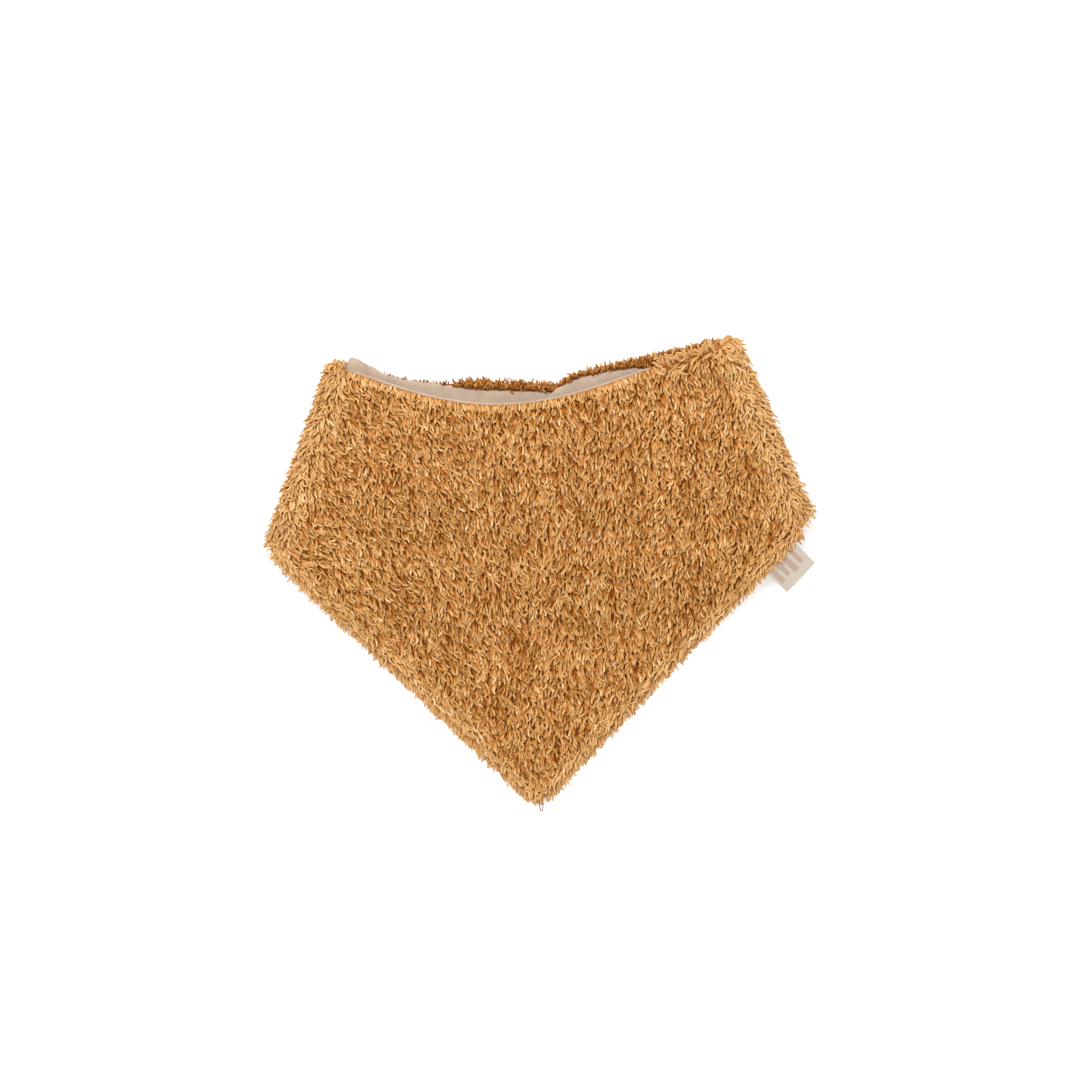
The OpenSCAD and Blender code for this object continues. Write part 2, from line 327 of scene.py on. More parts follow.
def make_mesh(name, verts, faces, material):
    """Verts are in millimetres."""
    mesh = bpy.data.meshes.new(name)
    mesh.from_pydata((np.asarray(verts) * MM).tolist(), [], faces)
    mesh.update()
    mesh.materials.append(material)
    mesh.polygons.foreach_set("use_smooth", np.ones(len(mesh.polygons), bool))
    return add_object(name, mesh)


def grid_normals(grid):
    across = np.gradient(grid, axis=1)
    along = np.gradient(grid, axis=0)
    return unit(np.cross(across, along))


def grid_faces(grid):
    n, m = grid.shape[:2]
    return [(i * m + j, i * m + j + 1, (i + 1) * m + j + 1, (i + 1) * m + j)
            for i in range(n - 1) for j in range(m - 1)]


def shell(name, grid, low, high, material, flip=1, flush=None):
    """A closed sheet of cloth about a grid, between two heights along its normals. Its edges are
    rounded, but flat where flush(i, j) says that the cloth goes on in another piece."""
    n, m = grid.shape[:2]
    normal = grid_normals(grid) * flip
    lower = grid + normal * low
    upper = grid + normal * high
    verts = np.concatenate([lower.reshape(-1, 3), upper.reshape(-1, 3)])
    border = [(0, j) for j in range(m)] + [(i, m - 1) for i in range(1, n)]
    border += [(n - 1, j) for j in range(m - 2, -1, -1)] + [(i, 0) for i in range(n - 2, 0, -1)]
    flat = [i * m + j for i, j in border]
    ring = grid.reshape(-1, 3)[flat]
    tangent = unit(np.roll(ring, -1, 0) - np.roll(ring, 1, 0))
    upward = normal.reshape(-1, 3)[flat]
    outward = unit(np.cross(tangent, upward)) * flip
    bulge = np.array([[0.0 if flush and flush(i, j) else (high - low) / 2] for i, j in border])
    middle = ring + upward * (low + high) / 2
    centre = grid.reshape(-1, 3).mean(0)
    sign = np.sign(((middle - centre) * outward).sum())
    first = len(verts)
    verts = np.concatenate([verts, middle + outward * sign * bulge])
    size = n * m
    faces = []
    for a, b, c, d in grid_faces(grid):
        faces.append((a, d, c, b))
        faces.append((size + a, size + b, size + c, size + d))
    count = len(flat)
    for k in range(count):
        a, b = flat[k], flat[(k + 1) % count]
        p, q = first + k, first + (k + 1) % count
        faces.append((a, b, q, p))
        faces.append((p, q, size + b, size + a))
    piece = make_mesh(name, verts, faces, material)
    tidy_normals(piece)
    return piece


def tube(name, line, radius, material, sides=8):
    """A closed round cord of cloth along a line."""
    tangent = unit(np.gradient(line, axis=0))
    across = unit(np.cross(tangent, UP))
    over = np.cross(across, tangent)
    radius = np.broadcast_to(radius, len(line))
    verts = []
    for k in range(len(line)):
        for m in range(sides):
            a = 2 * np.pi * m / sides
            verts.append(line[k] + radius[k] * (across[k] * math.cos(a) + over[k] * math.sin(a)))
    faces = []
    for k in range(len(line) - 1):
        for m in range(sides):
            a, b = k * sides + m, k * sides + (m + 1) % sides
            faces.append((a, b, b + sides, a + sides))
    faces.append(tuple(range(sides))[::-1])
    faces.append(tuple((len(line) - 1) * sides + m for m in range(sides)))
    piece = make_mesh(name, verts, faces, material)
    tidy_normals(piece)
    return piece


def tidy_normals(piece):
    """Merges double points and turns all faces outwards."""
    work = bmesh.new()
    work.from_mesh(piece.data)
    bmesh.ops.remove_doubles(work, verts=work.verts, dist=MERGE)
    bmesh.ops.recalc_face_normals(work, faces=work.faces)
    work.to_mesh(piece.data)
    work.free()


def cloth(name, kind, moves, grid, low, high, material, flip, flush):
    """The ground or the lining of a part of the bib, in place of its piece of the solid model."""
    slot = {"ground": "terry", "lining": "lining"}[kind]
    piece = shell(f"{name}_{kind}_cloth", grid, low, high, material, flip, flush)
    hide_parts(f"{name}_{slot}")
    moves(piece)
    return piece


def heart_of(grid):
    return grid[len(grid) // 2, grid.shape[1] // 2]


# ---------------- materials

class Look:
    """A new material. Sockets are named with _ for a space, and take values or other sockets."""

    def __init__(self, name, **values):
        self.material = bpy.data.materials.new(name)
        self.material.use_nodes = True
        self.tree = self.material.node_tree
        self.shader = self.tree.nodes["Principled BSDF"]
        self.set(self.shader, **values)

    def feed(self, socket, value):
        if isinstance(value, bpy.types.NodeSocket):
            self.tree.links.new(value, socket)
        elif value is not None:
            socket.default_value = value

    def set(self, node, **values):
        for name, value in values.items():
            self.feed(node.inputs[name.replace("_", " ")], value)

    def node(self, kind, **values):
        node = self.tree.nodes.new(f"ShaderNode{kind}")
        self.set(node, **values)
        return node

    def place(self):
        return self.node("TexCoord").outputs["Object"]

    def attribute(self, name):
        node = self.node("Attribute")
        node.attribute_name = name
        return node.outputs["Fac"]

    def noise(self, scale, detail, roughness=0.5):
        node = self.node("TexNoise", Scale=scale, Detail=detail, Roughness=roughness,
                         Vector=self.place())
        return node.outputs["Fac"]

    def wave(self, bands, vector, **values):
        node = self.node("TexWave", Vector=vector, **values)
        node.bands_direction = bands
        return node.outputs["Fac"]

    def maths(self, operation, a, b=None):
        node = self.node("Math")
        node.operation = operation
        for socket, value in zip(node.inputs, (a, b)):
            self.feed(socket, value)
        return node.outputs[0]

    def mixed(self, kind, factor, a, b):
        node = self.node("Mix")
        node.data_type = "RGBA"
        node.blend_type = kind
        for place, value in ((0, factor), (6, a), (7, b)):
            self.feed(node.inputs[place], value)
        return node.outputs[2]

    def ramp(self, value, *stops):
        """Colours between stops of (place, colour)."""
        node = self.node("ValToRGB")
        while len(node.color_ramp.elements) < len(stops):
            node.color_ramp.elements.new(0.5)
        for element, (at, colour) in zip(node.color_ramp.elements, stops):
            element.position = at
            element.color = (*colour, 1)
        self.feed(node.inputs[0], value)
        return node.outputs["Color"]

    def bump(self, height, distance):
        node = self.node("Bump", Height=height, Distance=distance)
        self.set(self.shader, Normal=node.outputs["Normal"])

    def coloured(self, colour):
        """The material, with its base colour."""
        self.set(self.shader, Base_Color=colour)
        return self.material


def pile_material():
    """Looped yarn: painted shade darkens each tuft towards its root, each tuft has its own tone,
    and slow patches lie over the cloth.
    """
    look = Look("terry pile", Roughness=0.85, Sheen_Weight=0.08, Sheen_Roughness=0.4,
                Specular_IOR_Level=0.1, Sheen_Tint=(1.0, 0.82, 0.55, 1))
    yarn = look.ramp(look.attribute("tone"), (0.0, (0.30, 0.108, 0.012)),
                     (0.35, (0.48, 0.238, 0.068)), (0.55, (0.575, 0.330, 0.128)),
                     (0.75, (0.655, 0.378, 0.145)), (1.0, (0.76, 0.53, 0.29)))
    patches = look.ramp(look.noise(70, 3), (0.3, (0.93, 0.90, 0.87)), (0.7, (1.0, 1.0, 1.0)))
    # Painted shade: the tufts darken towards their roots, for the shade in the gaps between them
    root = look.ramp(look.attribute("along"), (0.0, (0.45, 0.15, 0.01)), (0.4, (0.77, 0.49, 0.19)),
                     (0.8, (1.0, 1.0, 1.0)))
    yarn = look.mixed("MULTIPLY", 1.0, yarn, patches)
    return look.coloured(look.mixed("MULTIPLY", 1.0, yarn, root))


def ground_material(name, dark, light):
    """The knitted ground that shows between the tufts. Its dark colours are painted shade of the
    gaps.
    """
    look = Look(name, Roughness=0.95, Sheen_Weight=0.1)
    loops = look.noise(900, 3)
    look.bump(loops, 0.0004)
    return look.coloured(look.ramp(loops, (0.35, dark), (0.7, light)))


def lining_material():
    """Fine cotton jersey: narrow knitted wales and a slight slub."""
    look = Look("lining jersey", Roughness=0.88, Sheen_Weight=0.25, Sheen_Roughness=0.5,
                Specular_IOR_Level=0.2)
    wales = look.wave("X", look.place(), Scale=620, Distortion=2.5, Detail=2, Detail_Scale=3)
    courses = look.wave("Y", look.place(), Scale=800, Distortion=3)
    slub = look.noise(240, 5, 0.6)
    base = look.ramp(slub, (0.3, (0.437, 0.327, 0.243)), (0.55, (0.500, 0.378, 0.283)),
                     (0.75, (0.555, 0.425, 0.322)))
    knit = look.mixed("MULTIPLY", 0.5, wales, courses)
    look.bump(look.mixed("ADD", 0.5, knit, slub), 0.00012)
    return look.coloured(look.mixed("MULTIPLY", 0.07, base, knit))


def plastic_material():
    """Moulded plastic press studs: satin, with a fine spark-eroded grain and slight wear."""
    look = Look("press stud plastic", IOR=1.49, Specular_IOR_Level=0.5)
    wear = look.noise(350, 4)
    look.set(look.shader, Roughness=look.ramp(wear, (0.3, (0.34,) * 3), (0.7, (0.5,) * 3)))
    look.bump(look.noise(2600, 2), 0.00003)
    return look.coloured(look.ramp(wear, (0.3, (0.66, 0.53, 0.39)), (0.7, (0.74, 0.61, 0.46))))


# The stripes on the label, which run from the hem: middle and half width across the tape, and end
STRIPES = ((0.12, 0.07, 0.70), (0.34, 0.06, 0.64), (0.56, 0.075, 0.74), (0.79, 0.06, 0.66))


def tape_material():
    """Woven label tape with a plain generic motif of short brown stripes."""
    look = Look("label tape", Roughness=0.6, Sheen_Weight=0.3, Specular_IOR_Level=0.35)
    node = look.node("UVMap")
    node.uv_map = "Tape"
    uv = node.outputs["UV"]
    x, y, _ = look.node("SeparateXYZ", Vector=uv).outputs
    marks = None
    for middle, half, end in STRIPES:
        beside = look.maths("ABSOLUTE", look.maths("SUBTRACT", x, middle))
        bar = look.maths("MULTIPLY", look.maths("LESS_THAN", beside, half),
                         look.maths("LESS_THAN", y, end))
        marks = look.maths("MAXIMUM", marks, bar) if marks else bar
    marks = look.maths("MULTIPLY", marks, 0.8)
    weave = look.mixed("MULTIPLY", 0.5, look.wave("Y", uv, Scale=9), look.wave("X", uv, Scale=14))
    ground = look.mixed("MULTIPLY", 0.25, (0.60, 0.512, 0.42, 1), weave)
    look.bump(weave, 0.00015)
    return look.coloured(look.mixed("MIX", marks, ground, (0.375, 0.262, 0.18, 1)))


def felt_material():
    """Non-woven interfacing."""
    look = Look("interfacing felt", Roughness=0.95)
    fibres = look.noise(500, 6)
    look.bump(fibres, 0.0002)
    return look.coloured(look.ramp(fibres, (0.3, (0.74, 0.72, 0.68)), (0.7, (0.88, 0.87, 0.84))))


PILE = pile_material()
# Painted shade: the grounds are darker than the yarn; the folds' ground, less so
GROUND_CLOTH = ground_material("terry ground", (0.28, 0.085, 0.01), (0.40, 0.14, 0.02))
FOLD_CLOTH = ground_material("terry ground, fold, less painted shade", (0.48, 0.20, 0.04), (0.60, 0.29, 0.07))
JERSEY = lining_material()
PLASTIC = plastic_material()
TAPE = tape_material()
FELT = felt_material()


# ---------------- pile

def tuft_arrays(root, normal, lean, spin, length=TUFT_L, radius=TUFT_R, rise=58.0, droop=-2.0,
                curl=0.5):
    """Closed, curly fingers of yarn. Each stands up from its root and lies over towards lean.
    Returns verts (count, per tuft, 3) and the share along the tuft of each vertex."""
    count = len(root)
    size = length * spin.uniform(0.70, 1.20, count)
    fat = radius * spin.uniform(0.80, 1.15, count)
    start = np.radians(rise + spin.normal(0, 13, count))
    end = np.radians(droop + spin.normal(0, 15, count))
    bend = spin.normal(0, 0.30, count)
    turns = 2 * np.pi * spin.uniform(0.6, 1.35, count)
    phase = spin.uniform(0, 2 * np.pi, count)
    depth = curl * spin.uniform(0.4, 1.3, count)
    lean = unit(lean - normal * (lean * normal).sum(1, keepdims=True))
    side = np.cross(normal, lean)
    share = np.linspace(0, 1, TUFT_RINGS)
    step = 1 / (TUFT_RINGS - 1)
    at = root - normal * 0.25
    rings = []
    thickness = np.interp(share, [0, 0.2, 0.8, 1], [0.75, 1.0, 1.0, 0.72])
    for k, s in enumerate(share):
        angle = start + (end - start) * min(1, s * 1.25)
        angle = (angle + 0.5 * depth * np.sin(turns * s + 2 * phase))[:, None]
        sway = (bend * (2 * s - 0.4) + depth * np.sin(turns * s + phase))[:, None]
        forward = unit(np.cos(angle) * (lean + side * sway) + np.sin(angle) * normal)
        across = unit(np.cross(normal, forward) + side * 1e-3)
        over = np.cross(forward, across)
        rings.append((at, forward, across, over, fat * thickness[k]))
        at = at + forward * (size * step)[:, None]
    verts, along = [], []
    for k, (centre, forward, across, over, r) in enumerate(rings):
        for m in range(TUFT_SIDES):
            a = 2 * np.pi * (m + 0.5 * (k % 2)) / TUFT_SIDES
            verts.append(centre + across * (r * np.cos(a))[:, None]
                         + over * (FLATNESS * r * np.sin(a))[:, None])
            along.append(share[k])
    centre, forward, _, _, r = rings[-1]
    verts.append(centre + forward * (FLATNESS * r)[:, None])
    along.append(1.0)
    verts.append(rings[0][0] - rings[0][1] * 0.2)
    along.append(0.0)
    return np.stack(verts, 1), np.array(along)


def tuft_faces():
    """Faces of one tuft, as triangles."""
    n, m = TUFT_RINGS, TUFT_SIDES
    faces = []
    for k in range(n - 1):
        shift = k % 2
        for j in range(m):
            a, b = k * m + j, k * m + (j + 1) % m
            c, d = (k + 1) * m + j, (k + 1) * m + (j + 1) % m
            if shift:
                faces += [(a, b, d), (a, d, c)]
            else:
                faces += [(a, b, c), (b, d, c)]
    tip, base = n * m, n * m + 1
    for j in range(m):
        faces.append(((n - 1) * m + j, (n - 1) * m + (j + 1) % m, tip))
        faces.append((j, base, (j + 1) % m))
    return np.array(faces)


TUFT_FACES = tuft_faces()


def pile_piece(name, verts, along, tone, pale):
    """One mesh of many tufts, with an atlas of one cell for each tuft."""
    count, per = verts.shape[:2]
    verts = verts.reshape(-1, 3).copy()
    verts[:, 2] = np.maximum(verts[:, 2], FLOOR_GAP)
    faces = (TUFT_FACES[None] + (np.arange(count) * per)[:, None, None]).reshape(-1, 3)
    mesh = bpy.data.meshes.new(name)
    mesh.vertices.add(len(verts))
    mesh.vertices.foreach_set("co", (verts * MM).astype(np.float32).ravel())
    mesh.loops.add(faces.size)
    mesh.loops.foreach_set("vertex_index", faces.astype(np.int32).ravel())
    mesh.polygons.add(len(faces))
    mesh.polygons.foreach_set("loop_start", np.arange(0, faces.size, 3, dtype=np.int32))
    mesh.update(calc_edges=True)
    mesh.polygons.foreach_set("use_smooth", np.ones(len(faces), bool))
    # The share along each tuft drives its painted root shade, and pale takes some of that shade out
    rooted = np.tile(along, count)
    rooted = lerp(rooted, 1.0, np.repeat(pale, per))
    for label, values in (("tone", np.repeat(tone, per)), ("along", rooted)):
        layer = mesh.attributes.new(label, "FLOAT", "POINT")
        layer.data.foreach_set("value", values.astype(np.float32))
    columns = math.ceil(math.sqrt(count))
    corner_vertex = faces.ravel()
    tuft = corner_vertex // per
    local = corner_vertex % per
    wide = np.where(local < TUFT_RINGS * TUFT_SIDES, (local % TUFT_SIDES) / (TUFT_SIDES - 1), 0.5)
    u = (tuft % columns + 0.2 + 0.6 * wide) / columns
    v = (tuft // columns + 0.15 + 0.7 * along[local]) / columns
    layer = mesh.uv_layers.new(name="OFBake")
    layer.data.foreach_set("uv", np.stack([u, v], 1).astype(np.float32).ravel())
    mesh.materials.append(PILE)
    piece = add_object(name, mesh)
    return piece


def tones(spin, place, middle, pale):
    """A shade for each tuft, with neighbours alike, and more alike where the pile is pale."""
    patch = waves(place[:, 0], place[:, 1], 16, 21) * 0.08
    return np.clip(middle + (patch + spin.normal(0, 0.22, len(place))) * (1 - 0.8 * pale), 0, 1)


def only(keep, tufts):
    return [values[keep] for values in tufts]


def joined(rows):
    return [np.concatenate(values) for values in zip(*rows)]


def pile_pieces(name, tufts, spin, rides, middle=0.5, pale=0.0, **style):
    """Builds the pile in pieces small enough to keep every triangle. Tufts are roots, normals and
    directions, middle is the mean tone, and pale takes the painted shade out of the roots."""
    root = tufts[0]
    middle = np.broadcast_to(middle, len(root))
    pale = np.broadcast_to(pale, len(root))
    order = np.argsort(root[:, 1] + 0.001 * root[:, 0])
    groups = np.array_split(order, math.ceil(len(order) / MOST_TUFTS))
    pieces = []
    for n, group in enumerate(groups):
        verts, along = tuft_arrays(*only(group, tufts), spin, **style)
        shades = tones(spin, root[group], middle[group], pale[group])
        piece = pile_piece(f"{name}_{n + 1}", verts, along, shades, pale[group])
        rides(piece)
        pieces.append(piece)
    return pieces


def combed(root, base, spin, seed):
    """Directions of the tufts over an area: a common lie with slow swirls, gathered in clumps."""
    x, y = root[:, 0], root[:, 1]
    turn = np.radians(SWIRL * waves(x, y, 26, seed) + SWIRL * 0.5 * waves(x, y, 9, seed + 1))
    turn = turn + np.radians(spin.normal(0, SPREAD, len(root)))
    c, s = np.cos(turn), np.sin(turn)
    lie = np.stack([base[:, 0] * c - base[:, 1] * s, base[:, 0] * s + base[:, 1] * c], 1)
    low, high = root[:, :2].min(0), root[:, :2].max(0)
    across = [np.arange(a, b + CLUMP_PITCH, CLUMP_PITCH) for a, b in zip(low, high)]
    heart = np.stack(np.meshgrid(*across), -1).reshape(-1, 2)
    heart = heart + spin.uniform(-0.42, 0.42, heart.shape) * CLUMP_PITCH
    tree = KDTree(len(heart))
    for i, h in enumerate(heart):
        tree.insert((h[0], h[1], 0), i)
    tree.balance()
    near = np.array([tree.find((p[0], p[1], 0))[1] for p in root])
    pull = (heart[near] + base[:, :2] * 3.5 - root[:, :2]) / CLUMP_PITCH
    return level(unit(lie + pull * GATHER))


def scattered(low, high, pitch, spin):
    """Points of a jittered hexagonal net over a rectangle."""
    rows = np.arange(low[1], high[1], pitch * 0.866)
    points = []
    for n, y in enumerate(rows):
        x = np.arange(low[0] + (n % 2) * pitch / 2, high[0], pitch)
        points.append(np.stack([x, np.full(len(x), y)], 1))
    points = np.concatenate(points)
    return points + spin.uniform(-JITTER, JITTER, points.shape) * pitch


def roots_on(grid, pitch, spin, direction):
    """Roots of the pile on a grid that can be seen whole along Z. Returns places and normals that
    point against the given ray direction."""
    flat = grid.reshape(-1, 3)
    tree = BVHTree.FromPolygons([tuple(p) for p in flat], grid_faces(grid))
    ray = Vector((0, 0, direction))
    start = -60.0 * direction
    places, normals = [], []
    for x, y in scattered(flat.min(0), flat.max(0), pitch, spin):
        hit, normal, _, _ = tree.ray_cast(Vector((x, y, start)), ray)
        if hit is not None:
            places.append(hit)
            normals.append(normal if normal.z * direction < 0 else -normal)
    return np.array(places), np.array(normals)


def distance_to(line, points):
    """Distance in plan from points to a line of points, and the direction towards it."""
    best = np.full(len(points), 1e9)
    towards = np.zeros((len(points), 2))
    for a, b in zip(line[:-1], line[1:]):
        d = b - a
        t = np.clip(((points - a) @ d) / max(d @ d, 1e-9), 0, 1)
        gap = a + t[:, None] * d - points
        far = np.linalg.norm(gap, axis=1)
        closer = far < best
        best = np.where(closer, far, best)
        towards = np.where(closer[:, None], gap, towards)
    return best, unit(towards)


def laid(lie, direction, far, reach, strength, spin):
    """Turns the pile towards a direction, the more the nearer it is to an edge."""
    share = strength * np.clip(1 - far / reach, 0, 1) * spin.uniform(0.6, 1.2, len(lie))
    lie = lie.copy()
    lie[:, :2] = unit(lie[:, :2] * (1 - share[:, None]) + direction * share[:, None])
    return lie


# ---------------- front

def along_edge(line, inside, pitch, spin):
    """Jittered stops along an edge: places, tangents and directions away from the inside point."""
    length = np.concatenate([[0], np.cumsum(np.linalg.norm(np.diff(line, axis=0), axis=1))])
    stops = np.arange(pitch / 2, length[-1], pitch)
    stops = stops + spin.uniform(-0.4, 0.4, len(stops)) * pitch

    def at(where):
        return np.stack([np.interp(where, length, line[:, k]) for k in range(3)], 1)

    place, tangent = at(stops), unit(at(stops + 0.5) - at(stops - 0.5))
    outward = unit(np.cross(tangent, UP))
    return place, tangent, outward * np.sign(((place - inside) * outward)[:, :2].sum())


def fringe(line, inside, spin, pitch, low, high, lift, spread=0.35, drift=0.0):
    """Tufts on the side of an edge, between two heights, that point away from the inside point.
    Lift is the range of the upward part of their direction, spread its scatter along the edge, and
    drift the part of it along the edge, downwards."""
    place, tangent, outward = along_edge(line, inside, pitch, spin)
    place = place + UP * spin.uniform(low, high, len(place))[:, None]
    lean = outward + UP * spin.uniform(*lift, len(place))[:, None]
    downwards = tangent * -np.sign(tangent[:, 1:2])
    lean = lean + tangent * spin.normal(0, spread, len(place))[:, None] + downwards * drift
    normal = unit(outward * 0.55 + UP * np.sign(lift[0] + lift[1] + 1e-6) * 0.85)
    return place, normal, unit(lean)


def turned_over(line, inside, spin, pitch, height, reach):
    """Tufts just inside an edge, which stand up there and fall over inwards."""
    place, tangent, outward = along_edge(line, inside, pitch, spin)
    place = place - outward * spin.uniform(*reach, len(place))[:, None] + UP * height
    lean = tangent * spin.normal(0, 0.22, len(place))[:, None] - outward
    return place, np.tile(UP, (len(place), 1)), unit(lean)


def hairpin(place, length):
    """One pulled loop of yarn that hangs from the tip."""
    a = np.linspace(0, 1, 21)
    half_width = 0.75 * np.sin(np.pi * a) ** 0.5 * np.sign(0.5 - a + 1e-9)
    line = np.stack([place[0] + 0.75 - 1.5 * a + 0.3 * half_width,
                     place[1] - length * np.sin(np.pi * a) ** 0.7,
                     0.9 + 0.5 * np.sin(2 * np.pi * a)], 1)
    piece = tube("front_pulled_loop", line, 0.17, PILE)
    return piece


def front_pile(grid, half, spin, rides):
    """The pile over the face. Near the hem and the folds it runs along them, and there it is
    painted lighter, with less painted shade at its roots; so it is by the closed part of the
    neckline.
    """
    top = grid + grid_normals(grid) * GROUND
    root, normal = roots_on(top, PITCH, spin, direction=-1)
    x = root[:, 0] - TIP_AT[0]
    sideways = np.interp(x, [-105, 0, 105], [0.85, 0.05, -0.15])
    base = np.stack([sideways, -np.ones(len(x)), np.zeros(len(x))], 1)
    lie = combed(root, base, spin, seed=5)
    edge_far = np.full(len(root), 1e9)
    for rows, along, reach, strength in ((slice(None, half), hem_dir, 7.0, 0.75),
                                         (slice(half, None), up_dir, 8.0, 0.5)):
        for side, column in ((-1, 0), (1, -1)):
            far, _ = distance_to(top[rows, column, :2], root[:, :2])
            lie = laid(lie, -along(side), far, reach, strength, spin)
            edge_far = np.minimum(edge_far, far)
    neck_far, to_neck = distance_to(top[-1, :, :2], root[:, :2])
    closed = between(root[:, 0], *PILE_CLOSES)
    lie = laid(lie, to_neck, neck_far, 6.0, 0.8 * closed, spin)
    keep = neck_far > lerp(1.2, 0.1, closed)
    # Painted light: lighter tones and paler roots near the edges and by the closed neckline
    near_edge = np.exp(-((edge_far / 3.8) ** 2))
    near_seam = closed * np.exp(-((neck_far / 4.0) ** 2))
    middle = 0.49 + 0.17 * np.maximum(near_edge, 0.7 * near_seam)
    pale = np.maximum(0.5 * near_edge, 0.9 * near_seam)
    return pile_pieces("front_pile", only(keep, (root, normal, lie)), spin, rides,
                       middle=middle[keep], pale=pale[keep])


def front_edge_pile(grid, half, spin, rides):
    """Rolled over at the neckline, and hanging over the hem with some loose hairs."""
    inside = heart_of(grid)
    rows = [turned_over(grid[-1], inside, spin, pitch=0.80, height=GROUND - 0.2, reach=(0.3, 0.75)),
            turned_over(grid[-1], inside, spin, pitch=0.95, height=GROUND - 0.1, reach=(0.9, 1.6))]
    tufts = joined(rows)
    keep = spin.random(len(tufts[0])) > between(tufts[0][:, 0], *PILE_CLOSES)
    pieces = pile_pieces("front_neck_pile", only(keep, tufts), spin, rides, **STYLE["neck"])
    hem = np.concatenate([grid[half:0:-1, 0], grid[0, ::6], grid[:half, -1]])
    rows = [fringe(hem, inside, spin, pitch=0.50, low=0.0, high=GROUND - 0.3, lift=(-0.4, 0.1),
                   drift=0.75),
            fringe(hem, inside, spin, pitch=0.55, low=0.4, high=GROUND, lift=(-0.1, 0.4),
                   spread=0.45, drift=0.95)]
    pieces += pile_pieces("front_hem_pile", joined(rows), spin, rides, **STYLE["hem"])
    hairs = fringe(hem, inside, spin, pitch=1.1, low=0.2, high=GROUND, lift=(-0.2, 0.5),
                   spread=0.9, drift=0.4)
    return pieces + pile_pieces("front_hem_hairs", hairs, spin, rides, **STYLE["hem hairs"])


def make_front():
    spin = np.random.default_rng(11)
    grid, v = front_grid(110, 120)
    half = np.argmax(v >= 1) + 1
    closed = between(grid[-1, :, :1], *CLOTH_CLOSES)
    lying = grid.copy()
    lying[-1] = lerp(grid[-1], grid[-2], NECK_DRAWN * (1 - closed))

    def at_fold(i, j):
        return i >= half and j in (0, grid.shape[1] - 1)

    def rides(piece):
        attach(piece, "front")

    ground = cloth("front", "ground", rides, lying, CLOTH_GAP, GROUND, GROUND_CLOTH, 1, at_fold)
    lining = cloth("front", "lining", rides, grid, -LINING, 0.0, JERSEY, 1, at_fold)
    pieces = front_pile(grid, half, spin, rides) + front_edge_pile(grid, half, spin, rides)
    hanging = hairpin(TIP_AT + np.array([1.2, 0.6]), 5.0)
    rides(hanging)
    return grid


FRONT = make_front()


# ---------------- folds

def rides_part_way(piece):
    """Applies the piece's transform to its mesh."""
    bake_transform(piece)


def round_fold(side, along, a):
    """Points on the axis of a fold, and directions outwards in plan and at the angle a round it."""
    out = level(np.tile(out_dir(side), (len(a), 1)))
    normal = out * np.sin(a)[:, None] + UP * np.cos(a)[:, None]
    spine = corner(side) + TIP_AT + up_dir(side) * along[:, None]
    return level(spine) + UP * AXIS_Z, out, normal


def fold_strip(side, strip, rows, spin):
    """The tufts on one strip of the fold. They lie down along it."""
    tufts = []
    for row in range(rows):
        a0 = np.pi * (row + 0.5) / rows
        if not strip <= a0 / np.pi * FOLD_STRIPS < strip + 1:
            continue
        first = FOLD_START[side] + FOLD_BOW * math.sin(a0)
        run = np.arange(first, FOLD[side] - 0.2, PITCH * 0.9)
        run = run + spin.uniform(-0.5, 0.5, len(run)) * PITCH
        a = a0 + spin.uniform(-0.4, 0.4, len(run)) * np.pi / rows
        spine, out, normal = round_fold(side, run + (LOW_SHIFT + TOP_SHIFT) / 2 * (a / np.pi), a)
        turn = smooth(1 - run / 7.0)[:, None] * 0.9
        down = level(lerp(-up_dir(side), -hem_dir(side), turn))
        down = unit(down - normal * (down * normal).sum(1, keepdims=True))
        around = out * np.cos(a)[:, None] - UP * np.sin(a)[:, None]
        wander = np.radians(20 * waves(run, a * 6, 14, 40 + row) + spin.normal(0, 22, len(run)))
        splay = FOLD_SPLAY[side] * np.cos(a) ** 2 * (a < np.pi / 2)
        lean = unit(down * np.cos(wander)[:, None] + around * (np.sin(wander) + splay)[:, None])
        tufts.append((spine + normal * FOLD_PILE_R, normal, lean))
    return joined(tufts)


def fold_strip_ends(side, strip, spin):
    """The short tufts that close the ends of a strip."""
    a = np.pi * spin.uniform(strip, strip + 1, 10) / FOLD_STRIPS
    ends = []
    for stop, shift, way, lift in ((FOLD[side] + 0.1, TOP_SHIFT, 1.0, 0.8),
                                   (FOLD[side] - 0.2, TOP_SHIFT, -1.0, 0.7),
                                   (0.3, LOW_SHIFT, 0.8, 0.9)):
        spine, _, normal = round_fold(side, stop + shift * a / np.pi, a)
        lie = np.array([*(up_dir(side) * way), 0.0]) + normal * lift
        lie = unit(lie + spin.normal(0, 0.35, lie.shape))
        ends.append((spine + normal * (FOLD_PILE_R - 0.3), normal, lie))
    return joined(ends)


